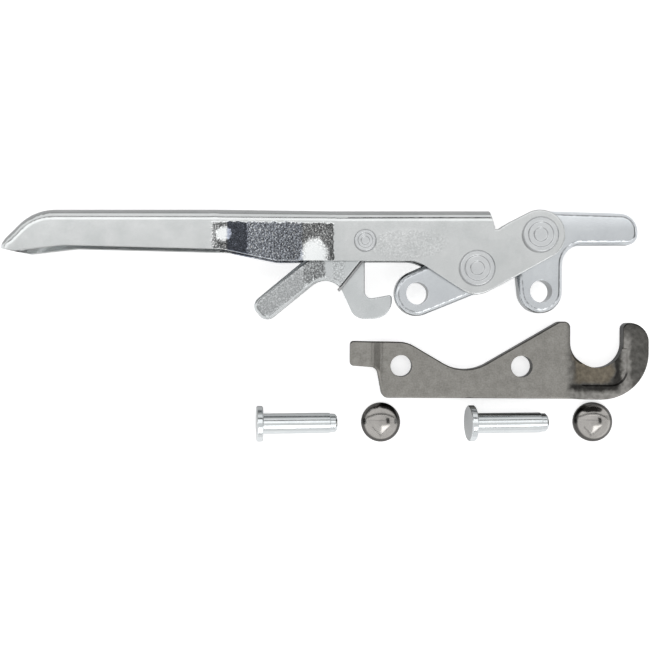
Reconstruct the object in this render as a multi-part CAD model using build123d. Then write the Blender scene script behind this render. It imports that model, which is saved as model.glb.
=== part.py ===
"""Over centre toggle latch kit: lever unit, hook plate, clevis pins and push-on caps.

Frame: millimetres, +Z up.  The lever unit lies on its side, its pivots stand along Z and its
plane of symmetry is Z = 0.  The origin is the centre of the clamp arm's free bore.
The loose pieces lie on the same floor as the lever.
"""
import math
import os

from build123d import *

# ---------------------------------------------------------------- driving dimensions
# Pivot layout: distances between pivot centres, and the directions in degrees
ARM_CENTRES = 22.8            # clamp arm, from its free bore to the lever
ARM_DIRECTION = 92.5
LEVER_CENTRES = 28.9          # lever, from the arm rivet to the toggle rivet
LEVER_DIRECTION = 207.9
TOGGLE_CENTRES = 25.9         # toggle link, from the lever to its free bore
TOGGLE_DIRECTION = 202.9
CATCH_CENTRES = 70.7          # lever, from the arm rivet to the catch rivet
CATCH_DIRECTION = 181.9

# Lever: one folded U channel
SHEET = 2.5                   # sheet thickness
BEND_RADIUS = 4.5             # outside radius of the folds
CHEEK_GAP = 10.0              # clear width between the cheeks
GRIP_WIDTH = 26.0             # outside width of the grip
WEB_RISE = 9.9                # top of the web above the arm rivet
GRIP_DEPTH = 14.4             # height of the grip's flanks beside the beak
GRIP_SAG = 1.6                # how much deeper they are beside the waist
WAIST_DEPTH = 20.4            # height of the flanks along the cheeks
LEVER_REACH = 217.6           # arm rivet to the tip of the beak
BEAK_RADIUS = 20.4            # bend of the beak, on the web's outer face
BEAK_ANGLE = 45.0             # turn of the beak, degrees
BEAK_STRAIGHT = 11.0          # straight end of the beak beyond the bend
BEAK_CORNER = 6.0             # corner radius of the beak, seen from above
LIP_START = 26.0              # tip to where the flanks start to deepen
LIP_RUN = 6.5                 # tip to the lowest point of the flanks' lip
LIP_DEPTH = 16.6              # web's top to that point
LIP_CORNER = 5.0
WAIST_START = 131.0           # arm rivet to the wide end of the waist
WAIST_END = 84.0              # arm rivet to the narrow end of the waist
WAIST_BEND = 40.0             # soft bends at both ends of the waist
STEP_START = 128.0            # arm rivet to where the lower edge leaves the grip
STEP_END = 107.0              # arm rivet to where it meets the waist's edge
LOWER_EDGE_RADIUS = 14.0      # soft corners of the lower edge
THROAT_X = 24.0               # toggle rivet to the throat of the cheek
WEB_END = 20.2                # arm rivet to the end of the web
WEB_END_SLANT = 2.0           # lean of the web's cut end
NOTCH_DEPTH = 7.6             # relief in the cheeks beside the web's end
NOTCH_RUN = 1.5               # level floor of the relief
NOTCH_SLOPE = 34.0            # rise of the cheeks from the relief, degrees
CHEEK_ROUND = 0.6             # rolled outer edge of the cheeks
BOSS_RADIUS = 10.2            # cheek round the arm rivet
TOGGLE_BOSS_RADIUS = 10.6     # cheek round the toggle rivet
THROAT_RADIUS = 14.0          # fillet where the cheek drops to the toggle boss

# Links and bores
LINK_THICKNESS = 9.0
LINK_EDGE_RADIUS = 2.2        # rolled edges of both links
TOGGLE_EYE_RADIUS = 9.2
TOGGLE_ROOT_RADIUS = 9.6
ARM_EYE_RADIUS = 8.9
ARM_ROOT_RADIUS = 10.1
ARM_REACH = 40.8              # arm rivet to the end of the clamp arm
ARM_HEIGHT = 12.8             # depth of the clamp arm at its nose
ARM_TAPER = 1.2               # drop of the arm's top edge along its length
ARM_NOSE_TOP = 7.5            # corner radii of the nose
ARM_NOSE_LOW = 4.5
ARM_FILLET = 8.0              # between the arm and its eye
FREE_BORE = 9.0               # bores that take the clevis pins

# Rivets
RIVET_SHANK = 8.0
RIVET_HEAD = 14.6
RIVET_HEAD_HEIGHT = 1.6
CATCH_SHANK = 6.0
CATCH_HEAD = 9.2
CATCH_HEAD_HEIGHT = 1.2
HEAD_BEVEL = 0.5              # bevel round a head
HEAD_RIM = 0.11               # raised rim, as a share of the head's diameter
HEAD_DISH = 0.25              # depth inside the rim
HEAD_SLOPE = 0.3              # run of the slopes between the levels
PRESS_RADIUS = 0.2            # mark of the press, as a share of the head's diameter
PRESS_DEPTH = 0.2
RUNNING_FIT = 0.05            # radial clearance of a turning bore

# Safety catch: folded trigger with a hook, all places measured from its rivet
CATCH_SHEET = 2.2
CATCH_WIDTH = 9.4
CATCH_EAR_RADIUS = 6.5
FINGER_ANGLE = 39.3           # rise of the finger towards the rivet
FINGER_LENGTH = 52.6          # rivet to the end of the finger, along the finger
FINGER_WIDTH = 10.0
FINGER_OFFSET = 4.7           # finger's centre line above the rivet
FINGER_CORNER = 4.0
CATCH_FOLD = 2.0              # outside radius of the folded edge
HOOK_STEM = 0.2               # stem's front edge
HOOK_THROAT = 23.6            # drop to the seat of the hook
HOOK_BASE = 31.6              # drop to the bottom of the hook
HOOK_REACH = 11.4             # tip of the hook
HOOK_LIFT = 2.0               # rise of the hook's point above its seat
HOOK_BACK = 4.0               # back corner behind the rivet
HOOK_HEEL = 6.0               # corner radii round the hook
HOOK_TOE = 7.5
HOOK_POINT = 1.2
HOOK_SEAT = 2.8
HOOK_BACK_SLOPE = 66.0        # slope of the hook's back, degrees
SPRING_ANGLE = 51.5           # slope of the spring's leg and of the near flank's cut edge
CATCH_WEB_END = 14.0          # rivet to the end of the folded web, along the finger
HOOK_NECK_RADIUS = 8.0        # fillet between the finger and the hook's back
SPRING_WIRE = 1.2
SPRING_TURNS = 2
SPRING_RADIUS = 4.1           # mean radius of the coil
SPRING_PITCH = 1.3            # rise of one turn
SPRING_LEG = 22.5             # leg along the near flank
SPRING_STUB = 8.0             # leg under the web
STUB_ANGLE = 150.0            # direction of that leg, degrees

# Hook plate
PLATE_THICKNESS = 6.0
PLATE_X = -56.0               # left bore of the plate as it lies
PLATE_Y = -30.8
PLATE_TURN = -0.3             # degrees, as it lies
PLATE_TOP = 10.0              # top edge above the bores
PLATE_BOTTOM = 13.4           # bottom edge below the bores
PLATE_PEAK = 18.9             # peak before the slot, above the bores
PLATE_EDGE = 0.7              # rounded rim of the upper face
TAB_REACH = 21.6              # bore to the end of the catch tab
TAB_HEIGHT = 9.8
TAB_SLANT = 0.4               # lift of the tab's top edge towards its end
TAB_BEND = 8.3                # bore to the bend of the tab
TAB_CORNER = 1.5
TAB_FILLET = 3.5              # corner between the tab and the body
BODY_START = 10.4             # bore to the body's edge below the tab
BODY_FOOT = 7.9               # bore to the body's lower corner
BODY_CORNER = 3.0
BODY_DIP = 0.8                # how far the body's edge starts below the tab
NOTCH_WIDTH = 21.0            # slot for the keeper pin
NOTCH_CENTRE = 30.8           # beyond the second bore
NOTCH_FLOOR = 10.25           # centre of the slot's round end above the bores
NOTCH_CORNER = 2.5
PEAK_WIDTH = 4.6              # from the peak's corner to the slot
PEAK_CORNER = 4.0
HORN_TOP = 18.5               # horn above the bores
HORN_WIDTH = 10.6
HORN_CORNER = 8.0
HEEL_RADIUS = 19.5
VALLEY_SLOPE = 30.3           # slopes of the valley between the bores, degrees
VALLEY_LEFT = 2.5             # where the valley's left slope starts
VALLEY_SHOULDER = 12.0
VALLEY_RADIUS = 18.0
JOGGLE = 4.0                  # rise of the tab and of the hook end
JOGGLE_RUN = 4.0              # length of the slope between the levels
JOGGLE_BEND = 2.5             # bend radius of the joggles
HOOK_BEND = 20.8              # second bore to the start of the hook end's bend
BAND_LEFT = 7.5               # forged band round the slot, from the slot's centre
BAND_RIGHT = 12.4
BAND_LOW = 18.2
BAND_TOP = 2.2
BAND_CORNER = 7.0
BAND_DEPTH = 0.8
BAND_DRAFT = 40.0             # slope of the band's step, degrees

# Clevis pins and push-on caps
PIN_DIAMETER = 8.5
PIN_LENGTH = 31.0
PIN_HEAD = 15.0
PIN_HEAD_HEIGHT = 2.7
PIN_HEAD_BEVEL = 0.4
PIN_CHAMFER = 0.8
PIN_STEP = 0.35               # depth of the turned lead at the end
PIN_LEAD = 3.0
PIN_1 = (-116.5, -54.8)
PIN_2 = (-28.3, -54.6)
CAP_DIAMETER = 16.5
CAP_HEIGHT = 6.0
CAP_SHEET = 0.8
CAP_WALL = 1.6                # straight wall below the dome
CAP_1 = (-64.4, -54.7)
CAP_2 = (25.2, -54.6)
WASHER_SHEET = 0.5
WASHER_SEAT = 0.8             # height of the washer above the cap's rim
WASHER_TEETH = 6
WASHER_GRIP = 0.25            # how far the teeth close inside the pin
SLIT_WIDTH = 0.9
SLIT_REACH = 2.6              # length of a slit outward from the washer's bore

# ---------------------------------------------------------------- relations


def polar(start, distance, direction):
    """Point at a distance from start, in a direction given in degrees."""
    angle = math.radians(direction)
    return start + Vector(distance * math.cos(angle), distance * math.sin(angle))


ORIGIN = Vector(0, 0)
ARM_PIVOT = polar(ORIGIN, ARM_CENTRES, ARM_DIRECTION)
TOGGLE_PIVOT = polar(ARM_PIVOT, LEVER_CENTRES, LEVER_DIRECTION)
TOGGLE_BORE = polar(TOGGLE_PIVOT, TOGGLE_CENTRES, TOGGLE_DIRECTION)
CATCH_PIVOT = polar(ARM_PIVOT, CATCH_CENTRES, CATCH_DIRECTION)
HOLE_SPACING = (TOGGLE_BORE - ORIGIN).length      # plate bores match the links' free bores

CHEEK_WIDTH = CHEEK_GAP + 2 * SHEET
WEB_TOP = ARM_PIVOT.Y + WEB_RISE
FLOOR = -GRIP_WIDTH / 2
GRIP_LOWER = WEB_TOP - GRIP_DEPTH
WAIST_LOWER = WEB_TOP - WAIST_DEPTH
TIP_X = ARM_PIVOT.X - LEVER_REACH
BEAK_TURN = math.radians(BEAK_ANGLE)
BEAK_X = TIP_X + BEAK_STRAIGHT * math.cos(BEAK_TURN) + BEAK_RADIUS * math.sin(BEAK_TURN)
WEB_END_X = ARM_PIVOT.X - WEB_END
FAR = 2 * LEVER_REACH         # longer than any piece, for trimming bodies
CLEAR = 1.0                   # how far a cutter runs past a face
ALIGN_BASE = (Align.CENTER, Align.CENTER, Align.MIN)
ALIGN_TOP = (Align.CENTER, Align.CENTER, Align.MAX)


def profile(corners):
    """Closed face from (x, y, corner radius) triples."""
    points = [(x, y) for x, y, _ in corners]
    radii = [radius for _, _, radius in corners]
    return make_face(FilletPolyline(*points, radius=radii, close=True))


def prism(face, low, high):
    """Face in the XY plane made into a body between two heights."""
    return Pos(0, 0, low) * extrude(face, amount=high - low)


def disc(centre, radius):
    """Round face about a point."""
    return Pos(centre.X, centre.Y) * Circle(radius)


def strap(start, start_radius, end, end_radius):
    """Outline round two discs, joined by their outer tangents; a radius may be nought."""
    axis = end - start
    heading = math.atan2(axis.Y, axis.X)
    spread = math.acos((start_radius - end_radius) / axis.length)
    corners = []
    for centre, radius, turns in ((start, start_radius, (1, -1)), (end, end_radius, (-1, 1))):
        if radius == 0:
            corners.append((centre.X, centre.Y))
            continue
        for turn in turns:
            angle = heading + turn * spread
            corners.append((centre.X + radius * math.cos(angle), centre.Y + radius * math.sin(angle)))
    face = make_face(Polyline(*corners, close=True))
    for centre, radius in ((start, start_radius), (end, end_radius)):
        if radius > 0:
            face += disc(centre, radius)
    return face


def bore(centre, radius):
    """Cutter along Z, longer than any piece is thick."""
    return Pos(centre.X, centre.Y) * Cylinder(radius, FAR)


def round_edges(body, radius, axis=Axis.Z):
    """Round the outline of both flat faces of a plate."""
    flats = body.faces().sort_by(axis)
    edges = flats[0].outer_wire().edges() + flats[-1].outer_wire().edges()
    return fillet(edges, radius)


def finish(body, name, colour):
    """Name, colour and write one piece."""
    solids = body.solids()
    piece = solids[0] if len(solids) == 1 else Compound(children=list(solids))
    piece.label = name
    piece.color = Color(*colour)
    export_step(piece, os.path.join("parts", name + ".step"))
    return piece


# ---------------------------------------------------------------- lever
def channel_block(inset):
    """Solid block of the channel, with its web, flanks and beak moved in by the inset."""
    half_grip = GRIP_WIDTH / 2 - inset
    half_waist = CHEEK_WIDTH / 2 - inset
    wide_x = ARM_PIVOT.X - WAIST_START
    slim_x = ARM_PIVOT.X - WAIST_END
    nose = TIP_X + inset
    right = FAR / 4
    corner = BEAK_CORNER - inset
    plan = profile([
        (nose, -half_grip, corner),
        (wide_x, -half_grip, WAIST_BEND),
        (slim_x, -half_waist, WAIST_BEND),
        (right, -half_waist, 0),
        (right, half_waist, 0),
        (slim_x, half_waist, WAIST_BEND),
        (wide_x, half_grip, WAIST_BEND),
        (nose, half_grip, corner),
    ])
    bend = CenterArc((BEAK_X, WEB_TOP - BEAK_RADIUS), BEAK_RADIUS - inset, 90, BEAK_ANGLE)
    slope = Line(bend @ 1, (bend @ 1) + (bend % 1) * 2 * BEAK_STRAIGHT)
    end = slope @ 1
    rest = Polyline(end, (end.X, -right), (right, -right), (right, WEB_TOP - inset), bend @ 0)
    side = make_face(bend + slope + rest)
    block = extrude(Plane.XZ * plan, amount=right, both=True) & extrude(side, amount=right, both=True)
    tip_y = (bend @ 1).Y - ((bend @ 1).X - nose) * math.tan(BEAK_TURN)
    crest = block.edges().filter_by(lambda edge: runs_along_web(edge, tip_y, right))
    return fillet(crest, BEND_RADIUS - inset)


def runs_along_web(edge, lowest, right):
    """True for the folds between the web and the flanks, round the beak too."""
    middle = edge @ 0.5
    upright = abs((edge % 0.5).Y) > 0.98
    return middle.Y > lowest - CLEAR and middle.X < right - CLEAR and not upright


def channel_outline():
    """Side view of the channel: slanted web end, and the lower edge from tip to throat."""
    above = WEB_TOP + GRIP_WIDTH
    tip_y = WEB_TOP - LIP_DEPTH + SHEET / 2
    return profile([
        (TIP_X - CLEAR, above, 0),
        (WEB_END_X - WEB_END_SLANT, above, 0),
        (WEB_END_X, WEB_TOP, 0),
        (WEB_END_X + WEB_END_SLANT, WEB_TOP - BEND_RADIUS - SHEET, 0),
        (WEB_END_X + WEB_END_SLANT, WAIST_LOWER, 0),
        (ARM_PIVOT.X - STEP_END, WAIST_LOWER, LOWER_EDGE_RADIUS),
        (ARM_PIVOT.X - STEP_START, GRIP_LOWER - GRIP_SAG, LOWER_EDGE_RADIUS),
        (TIP_X + LIP_START, GRIP_LOWER, LOWER_EDGE_RADIUS),
        (TIP_X + LIP_RUN, WEB_TOP - LIP_DEPTH, LIP_CORNER),
        (TIP_X - CLEAR, tip_y, 0),
    ])


def cheek_outline():
    """Side view of one cheek, from the throat round both bosses."""
    throat_x = TOGGLE_PIVOT.X - THROAT_X
    bosses = strap(TOGGLE_PIVOT, TOGGLE_BOSS_RADIUS, ARM_PIVOT, BOSS_RADIUS)
    fold = WEB_TOP - BEND_RADIUS
    wall = profile([
        (throat_x - THROAT_RADIUS, fold, 0),
        (WEB_END_X, fold, 0),
        (WEB_END_X, TOGGLE_PIVOT.Y, 0),
        (throat_x, WAIST_LOWER, 0),
        (throat_x - THROAT_RADIUS, WAIST_LOWER, 0),
    ])
    neck = strap(TOGGLE_PIVOT, TOGGLE_BOSS_RADIUS, Vector(throat_x, WAIST_LOWER), 0)
    cheek = wall + neck + bosses
    relief_x = WEB_END_X + WEB_END_SLANT
    relief_y = WEB_TOP - NOTCH_DEPTH
    rise = GRIP_WIDTH * math.tan(math.radians(NOTCH_SLOPE))
    relief = profile([
        (relief_x, relief_y, 0),
        (relief_x + NOTCH_RUN, relief_y, 0),
        (relief_x + NOTCH_RUN + GRIP_WIDTH, relief_y + rise, 0),
        (relief_x, relief_y + rise, 0),
    ])
    cheek = cheek - (relief - disc(ARM_PIVOT, BOSS_RADIUS))
    throat = cheek.vertices().sort_by_distance((throat_x, WAIST_LOWER, 0))[0]
    return fillet(throat, THROAT_RADIUS)


def cheek_plate():
    """Near cheek, its outer edge rolled round the bosses and the throat."""
    plate = prism(cheek_outline(), CHEEK_GAP / 2, CHEEK_WIDTH / 2)
    outer = plate.faces().sort_by(Axis.Z)[-1].outer_wire().edges()
    rim = outer.filter_by(lambda edge: (edge @ 0.5).Y < WAIST_LOWER or (edge @ 0.5).X > WEB_END_X + NOTCH_RUN)
    return fillet(rim, CHEEK_ROUND)


def lever_handle():
    """Folded lever: channel grip with a beak, waist, and two cheeks that carry the rivets."""
    outline = prism(channel_outline(), -GRIP_WIDTH, GRIP_WIDTH)
    channel = (channel_block(0) - channel_block(SHEET)) & outline
    near = cheek_plate()
    lever = channel + near + mirror(near, Plane.XY)
    for pivot, shank in ((ARM_PIVOT, RIVET_SHANK), (TOGGLE_PIVOT, RIVET_SHANK), (CATCH_PIVOT, CATCH_SHANK)):
        lever -= bore(pivot, shank / 2)
    return lever


# ---------------------------------------------------------------- links
def link_body(face, root, free):
    """Thick link with rolled edges, a turning bore at its root and a free bore at its eye."""
    half = LINK_THICKNESS / 2
    body = round_edges(prism(face, -half, half), LINK_EDGE_RADIUS)
    body -= bore(root, RIVET_SHANK / 2 + RUNNING_FIT)
    body -= bore(free, FREE_BORE / 2)
    return body


def toggle_link():
    """Link from the lever to the hook plate's first bore."""
    face = strap(TOGGLE_BORE, TOGGLE_EYE_RADIUS, TOGGLE_PIVOT, TOGGLE_ROOT_RADIUS)
    return link_body(face, TOGGLE_PIVOT, TOGGLE_BORE)


def clamp_arm():
    """Bell crank: an eye below its rivet, and an arm that closes over the plate's slot."""
    eye = strap(ORIGIN, ARM_EYE_RADIUS, ARM_PIVOT, ARM_ROOT_RADIUS)
    nose_x = ARM_PIVOT.X + ARM_REACH
    root_top = ARM_PIVOT.Y + ARM_ROOT_RADIUS
    nose_top = root_top - ARM_TAPER
    nose_low = nose_top - ARM_HEIGHT
    arm = profile([
        (ARM_PIVOT.X, root_top, 0),
        (nose_x, nose_top, ARM_NOSE_TOP),
        (nose_x, nose_low, ARM_NOSE_LOW),
        (ARM_PIVOT.X, nose_low, 0),
    ])
    face = eye + arm
    inner_corner = face.vertices().sort_by_distance((ARM_EYE_RADIUS, nose_low, 0))[0]
    face = fillet(inner_corner, ARM_FILLET)
    return link_body(face, ARM_PIVOT, ORIGIN)


# ---------------------------------------------------------------- rivets
def rivet(pivot, shank, head, height):
    """Headed rivet through both cheeks, its heads dished inside a raised rim."""
    face_z = CHEEK_WIDTH / 2
    top = face_z + height
    dish = top - HEAD_DISH
    edge = head / 2
    rim = edge - HEAD_BEVEL - HEAD_RIM * head
    press = PRESS_RADIUS * head
    half = make_face(
        Polyline(
            (0, 0), (shank / 2, 0), (shank / 2, face_z), (edge, face_z),
            (edge, top - HEAD_BEVEL), (edge - HEAD_BEVEL, top),
            (rim, top), (rim - HEAD_SLOPE, dish),
            (press, dish), (press - HEAD_SLOPE, dish - PRESS_DEPTH), (0, dish - PRESS_DEPTH), (0, 0),
        )
    )
    upper = revolve(Plane.XZ * half, Axis.Z)
    return Pos(pivot.X, pivot.Y) * (upper + mirror(upper, Plane.XY))


# ---------------------------------------------------------------- safety catch
def from_catch(x, y):
    """Point measured from the catch rivet."""
    return CATCH_PIVOT.X + x, CATCH_PIVOT.Y + y


def finger_face(inset):
    """Finger of the catch in side view, its folded edges moved in by the inset."""
    low = FINGER_OFFSET - FINGER_WIDTH / 2 + inset
    high = FINGER_OFFSET + FINGER_WIDTH / 2 + inset
    corner = FINGER_CORNER - inset / 2
    finger = profile([
        (-FINGER_LENGTH + inset, low, corner),
        (0, low, 0),
        (0, high, 0),
        (-FINGER_LENGTH + inset, high, corner),
    ])
    return Pos(CATCH_PIVOT.X, CATCH_PIVOT.Y) * Rot(0, 0, FINGER_ANGLE) * finger


def catch_face():
    """Whole side view of the catch: finger, ear round the rivet, and hook."""
    rise = math.tan(math.radians(HOOK_BACK_SLOPE))
    slope = math.tan(math.radians(FINGER_ANGLE))
    below = (FINGER_WIDTH / 2 - FINGER_OFFSET) / math.cos(math.radians(FINGER_ANGLE))
    neck_x = (below - HOOK_BASE - rise * HOOK_BACK) / (slope + rise)
    neck = from_catch(neck_x, slope * neck_x - below)
    hook = profile([
        (*neck, 0),
        (*from_catch(-HOOK_BACK, -HOOK_BASE), HOOK_HEEL),
        (*from_catch(HOOK_REACH, -HOOK_BASE), HOOK_TOE),
        (*from_catch(HOOK_REACH, HOOK_LIFT - HOOK_THROAT), HOOK_POINT),
        (*from_catch(HOOK_STEM, -HOOK_THROAT), HOOK_SEAT),
        (*from_catch(HOOK_STEM, 0), 0),
        (*from_catch(neck_x, 0), 0),
    ])
    face = finger_face(0) + hook + disc(CATCH_PIVOT, CATCH_EAR_RADIUS)
    corner = face.vertices().sort_by_distance((*neck, 0))[0]
    return fillet(corner, HOOK_NECK_RADIUS)


def along_finger(point):
    """Distance of a point from the catch rivet, measured along the finger."""
    offset = point - Vector(CATCH_PIVOT.X, CATCH_PIVOT.Y, point.Z)
    angle = math.radians(FINGER_ANGLE)
    return -(offset.X * math.cos(angle) + offset.Y * math.sin(angle))


def safety_catch():
    """Folded trigger: two flanks joined by a web along the finger, the far flank forms the hook."""
    half = CATCH_WIDTH / 2
    wall = half - CATCH_SHEET
    face = catch_face()
    body = prism(face, -half, half)
    flats = body.edges().filter_by(lambda edge: abs(abs((edge @ 0.5).Z) - half) < 0.01)
    body = fillet(flats.filter_by(is_fold), CATCH_FOLD)
    place = Pos(CATCH_PIVOT.X, CATCH_PIVOT.Y) * Rot(0, 0, FINGER_ANGLE)
    beyond = place * (Pos(GRIP_WIDTH - CATCH_WEB_END, 0) * Rectangle(2 * GRIP_WIDTH, 4 * GRIP_WIDTH))
    web = finger_face(0) - finger_face(CATCH_SHEET) - beyond
    body -= prism(Pos(CATCH_PIVOT.X, CATCH_PIVOT.Y) * Rectangle(FAR, FAR) - web, -wall, wall)
    cut_x = SPRING_RADIUS - SPRING_WIRE / 2
    tilted = Pos(CATCH_PIVOT.X, CATCH_PIVOT.Y) * Rot(0, 0, SPRING_ANGLE)
    front = tilted * (Pos(0, -GRIP_WIDTH - cut_x) * Rectangle(4 * GRIP_WIDTH, 2 * GRIP_WIDTH))
    front -= disc(CATCH_PIVOT, CATCH_EAR_RADIUS)
    body -= prism(front, wall, CATCH_WIDTH)
    return body - bore(CATCH_PIVOT, CATCH_SHANK / 2 + RUNNING_FIT)


def is_fold(edge):
    """True for the finger's lower edge and end, where the flanks turn into the web."""
    middle = edge @ 0.5
    offset = middle - Vector(CATCH_PIVOT.X, CATCH_PIVOT.Y, middle.Z)
    angle = math.radians(FINGER_ANGLE)
    across = offset.Y * math.cos(angle) - offset.X * math.sin(angle)
    upper = FINGER_OFFSET + FINGER_WIDTH / 2 - FINGER_CORNER / 2
    return along_finger(middle) > CATCH_WEB_END + HOOK_NECK_RADIUS / 2 and across < upper


def catch_spring():
    """Torsion spring round the catch rivet: a leg along the near flank, a stub under the web."""
    turns = SPRING_TURNS + (STUB_ANGLE - SPRING_ANGLE) / 360
    height = turns * SPRING_PITCH
    coil = Helix(pitch=SPRING_PITCH, height=height, radius=SPRING_RADIUS, lefthand=True)
    section = Plane(origin=coil @ 0, z_dir=coil % 0) * Circle(SPRING_WIRE / 2)
    spring = sweep(section, path=coil, is_frenet=True)
    for end, side, length in ((0, -1, SPRING_STUB), (1, 1, SPRING_LEG)):
        tangent = coil % end
        level = Vector(side * tangent.X, side * tangent.Y)
        rod = Cylinder(SPRING_WIRE / 2, length, align=ALIGN_BASE)
        spring += Plane(origin=coil @ end, z_dir=level) * rod
        spring += Pos(*(coil @ end)) * Sphere(SPRING_WIRE / 2)
    top = CATCH_WIDTH / 2 - CATCH_SHEET - SPRING_WIRE / 2 - RUNNING_FIT
    return Pos(CATCH_PIVOT.X, CATCH_PIVOT.Y, top - height) * Rot(0, 0, STUB_ANGLE - 90) * spring


# ---------------------------------------------------------------- hook plate
def plate_outline():
    """Flat outline of the hook plate, from its first bore, with the slot still closed."""
    slope = math.tan(math.radians(VALLEY_SLOPE))
    valley_left = (VALLEY_LEFT, PLATE_TOP)
    notch_x = HOLE_SPACING + NOTCH_CENTRE
    notch_left = notch_x - NOTCH_WIDTH / 2
    notch_right = notch_x + NOTCH_WIDTH / 2
    horn_x = notch_right + HORN_WIDTH
    peak_x = notch_left - PEAK_WIDTH
    valley_x = (valley_left[0] + peak_x + (PLATE_TOP - PLATE_PEAK) / slope) / 2
    valley_y = PLATE_TOP - slope * (valley_x - valley_left[0])
    tab_low = PLATE_TOP - TAB_HEIGHT
    return profile([
        (-TAB_REACH, PLATE_TOP + TAB_SLANT, TAB_CORNER),
        (*valley_left, VALLEY_SHOULDER),
        (valley_x, valley_y, VALLEY_RADIUS),
        (peak_x, PLATE_PEAK, PEAK_CORNER),
        (notch_left, PLATE_PEAK, NOTCH_CORNER),
        (notch_left, NOTCH_FLOOR, 0),
        (notch_right, NOTCH_FLOOR, 0),
        (notch_right, HORN_TOP, NOTCH_CORNER),
        (horn_x, HORN_TOP, HORN_CORNER),
        (horn_x, -PLATE_BOTTOM, HEEL_RADIUS),
        (-BODY_FOOT, -PLATE_BOTTOM, BODY_CORNER),
        (-BODY_START, tab_low - BODY_DIP, TAB_FILLET),
        (-TAB_REACH, tab_low, TAB_CORNER),
    ])


def joggled_strip(thickness, low):
    """Side view of the bent plate: tab and hook end raised above the body."""
    tab_x = -TAB_BEND
    hook_x = HOLE_SPACING + HOOK_BEND
    left = -TAB_REACH - CLEAR
    right = hook_x + 3 * NOTCH_WIDTH
    lower = [
        (left, low + JOGGLE, 0),
        (tab_x - JOGGLE_RUN, low + JOGGLE, JOGGLE_BEND),
        (tab_x, low, JOGGLE_BEND),
        (hook_x, low, JOGGLE_BEND),
        (hook_x + JOGGLE_RUN, low + JOGGLE, JOGGLE_BEND),
        (right, low + JOGGLE, 0),
    ]
    upper = [(x, y + thickness, radius) for x, y, radius in reversed(lower)]
    return profile(lower + upper)


def upper_rim(body):
    """Edges between the faces that look up and the walls of a plate."""
    tops = body.faces().filter_by(lambda face: face.normal_at(face.center()).Z > 0.5)
    edges = [edge for face in tops for edge in face.edges()]
    return [edge for edge in edges if sum(edge.is_same(other) for other in edges) == 1]


def forged_band():
    """Outline of the forged band that runs under the slot and up its outer side."""
    centre = Vector(HOLE_SPACING + NOTCH_CENTRE, NOTCH_FLOOR)
    left = centre.X - BAND_LEFT
    right = centre.X + BAND_RIGHT
    low = centre.Y - BAND_LOW
    top = centre.Y - BAND_TOP
    return profile([
        (left, low, 0),
        (right, low, BAND_CORNER),
        (right, top, 0),
        (left, top, 0),
    ])


def hook_plate():
    """Bent plate with two bores, the catch's tab and the slotted hook end."""
    strip = extrude(Plane.XZ * joggled_strip(PLATE_THICKNESS, 0), amount=FAR / 4, both=True)
    plate = prism(plate_outline(), -FAR / 4, FAR / 4) & strip
    plate -= bore(Vector(HOLE_SPACING + NOTCH_CENTRE, NOTCH_FLOOR), NOTCH_WIDTH / 2)
    plate = fillet(upper_rim(plate), PLATE_EDGE)
    top = PLATE_THICKNESS + JOGGLE
    plate -= Pos(0, 0, top) * extrude(forged_band(), amount=-BAND_DEPTH, taper=BAND_DRAFT)
    for centre in (Vector(0, 0), Vector(HOLE_SPACING, 0)):
        plate -= bore(centre, FREE_BORE / 2)
    return Pos(PLATE_X, PLATE_Y, FLOOR) * Rot(0, 0, PLATE_TURN) * plate


# ---------------------------------------------------------------- pins and caps
def clevis_pin(place):
    """Headed pin lying on the rim of its head and the end of its shank."""
    head = PIN_HEAD / 2
    shank = PIN_DIAMETER / 2
    lead = shank - PIN_STEP
    full = PIN_HEAD_HEIGHT + PIN_LENGTH
    half = make_face(
        Polyline(
            (0, 0), (head - PIN_HEAD_BEVEL, 0), (head, PIN_HEAD_BEVEL),
            (head, PIN_HEAD_HEIGHT - PIN_HEAD_BEVEL), (head - PIN_HEAD_BEVEL, PIN_HEAD_HEIGHT),
            (shank, PIN_HEAD_HEIGHT), (shank, full - PIN_LEAD), (lead, full - PIN_LEAD),
            (lead, full - PIN_CHAMFER), (lead - PIN_CHAMFER, full), (0, full), (0, 0),
        )
    )
    pin = revolve(Plane.XZ * half, Axis.Z)
    run = full - PIN_CHAMFER - PIN_HEAD_HEIGHT + PIN_HEAD_BEVEL
    tilt = math.degrees(math.atan2(head - lead, run))
    lying = Rot(0, 90 + tilt, 0) * pin
    drop = lying.bounding_box().min.Z
    return Pos(place[0], place[1], FLOOR - drop) * lying


def push_cap(place):
    """Domed sheet cap, open below, standing on its rim."""
    return Pos(place[0], place[1], FLOOR) * (cap_block(0) - cap_block(CAP_SHEET))


def cap_block(inset):
    """Solid under the cap's outer skin, or under its inner skin."""
    radius = CAP_DIAMETER / 2 - inset
    rise = CAP_HEIGHT - inset - CAP_WALL
    sphere_radius = (radius ** 2 + rise ** 2) / (2 * rise)
    wall = Cylinder(radius, CAP_WALL + inset, align=ALIGN_TOP)
    ball = Pos(0, 0, rise - sphere_radius) * Sphere(sphere_radius)
    dome = ball & Cylinder(radius, 2 * CAP_HEIGHT, align=ALIGN_BASE)
    return Pos(0, 0, CAP_WALL) * (wall + dome)


def push_washer(place):
    """Spring washer clipped in the cap, slit into teeth that bite on the pin."""
    inner = PIN_DIAMETER / 2 - WASHER_GRIP
    outer = CAP_DIAMETER / 2 - CAP_SHEET
    plate = Cylinder(outer, WASHER_SHEET, align=ALIGN_BASE) - Cylinder(inner, FAR)
    slit = Pos(inner, 0) * Box(2 * SLIT_REACH, SLIT_WIDTH, FAR)
    for tooth in range(WASHER_TEETH):
        plate -= Rot(0, 0, 360 * tooth / WASHER_TEETH) * slit
    return Pos(place[0], place[1], FLOOR + WASHER_SEAT) * plate


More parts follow.
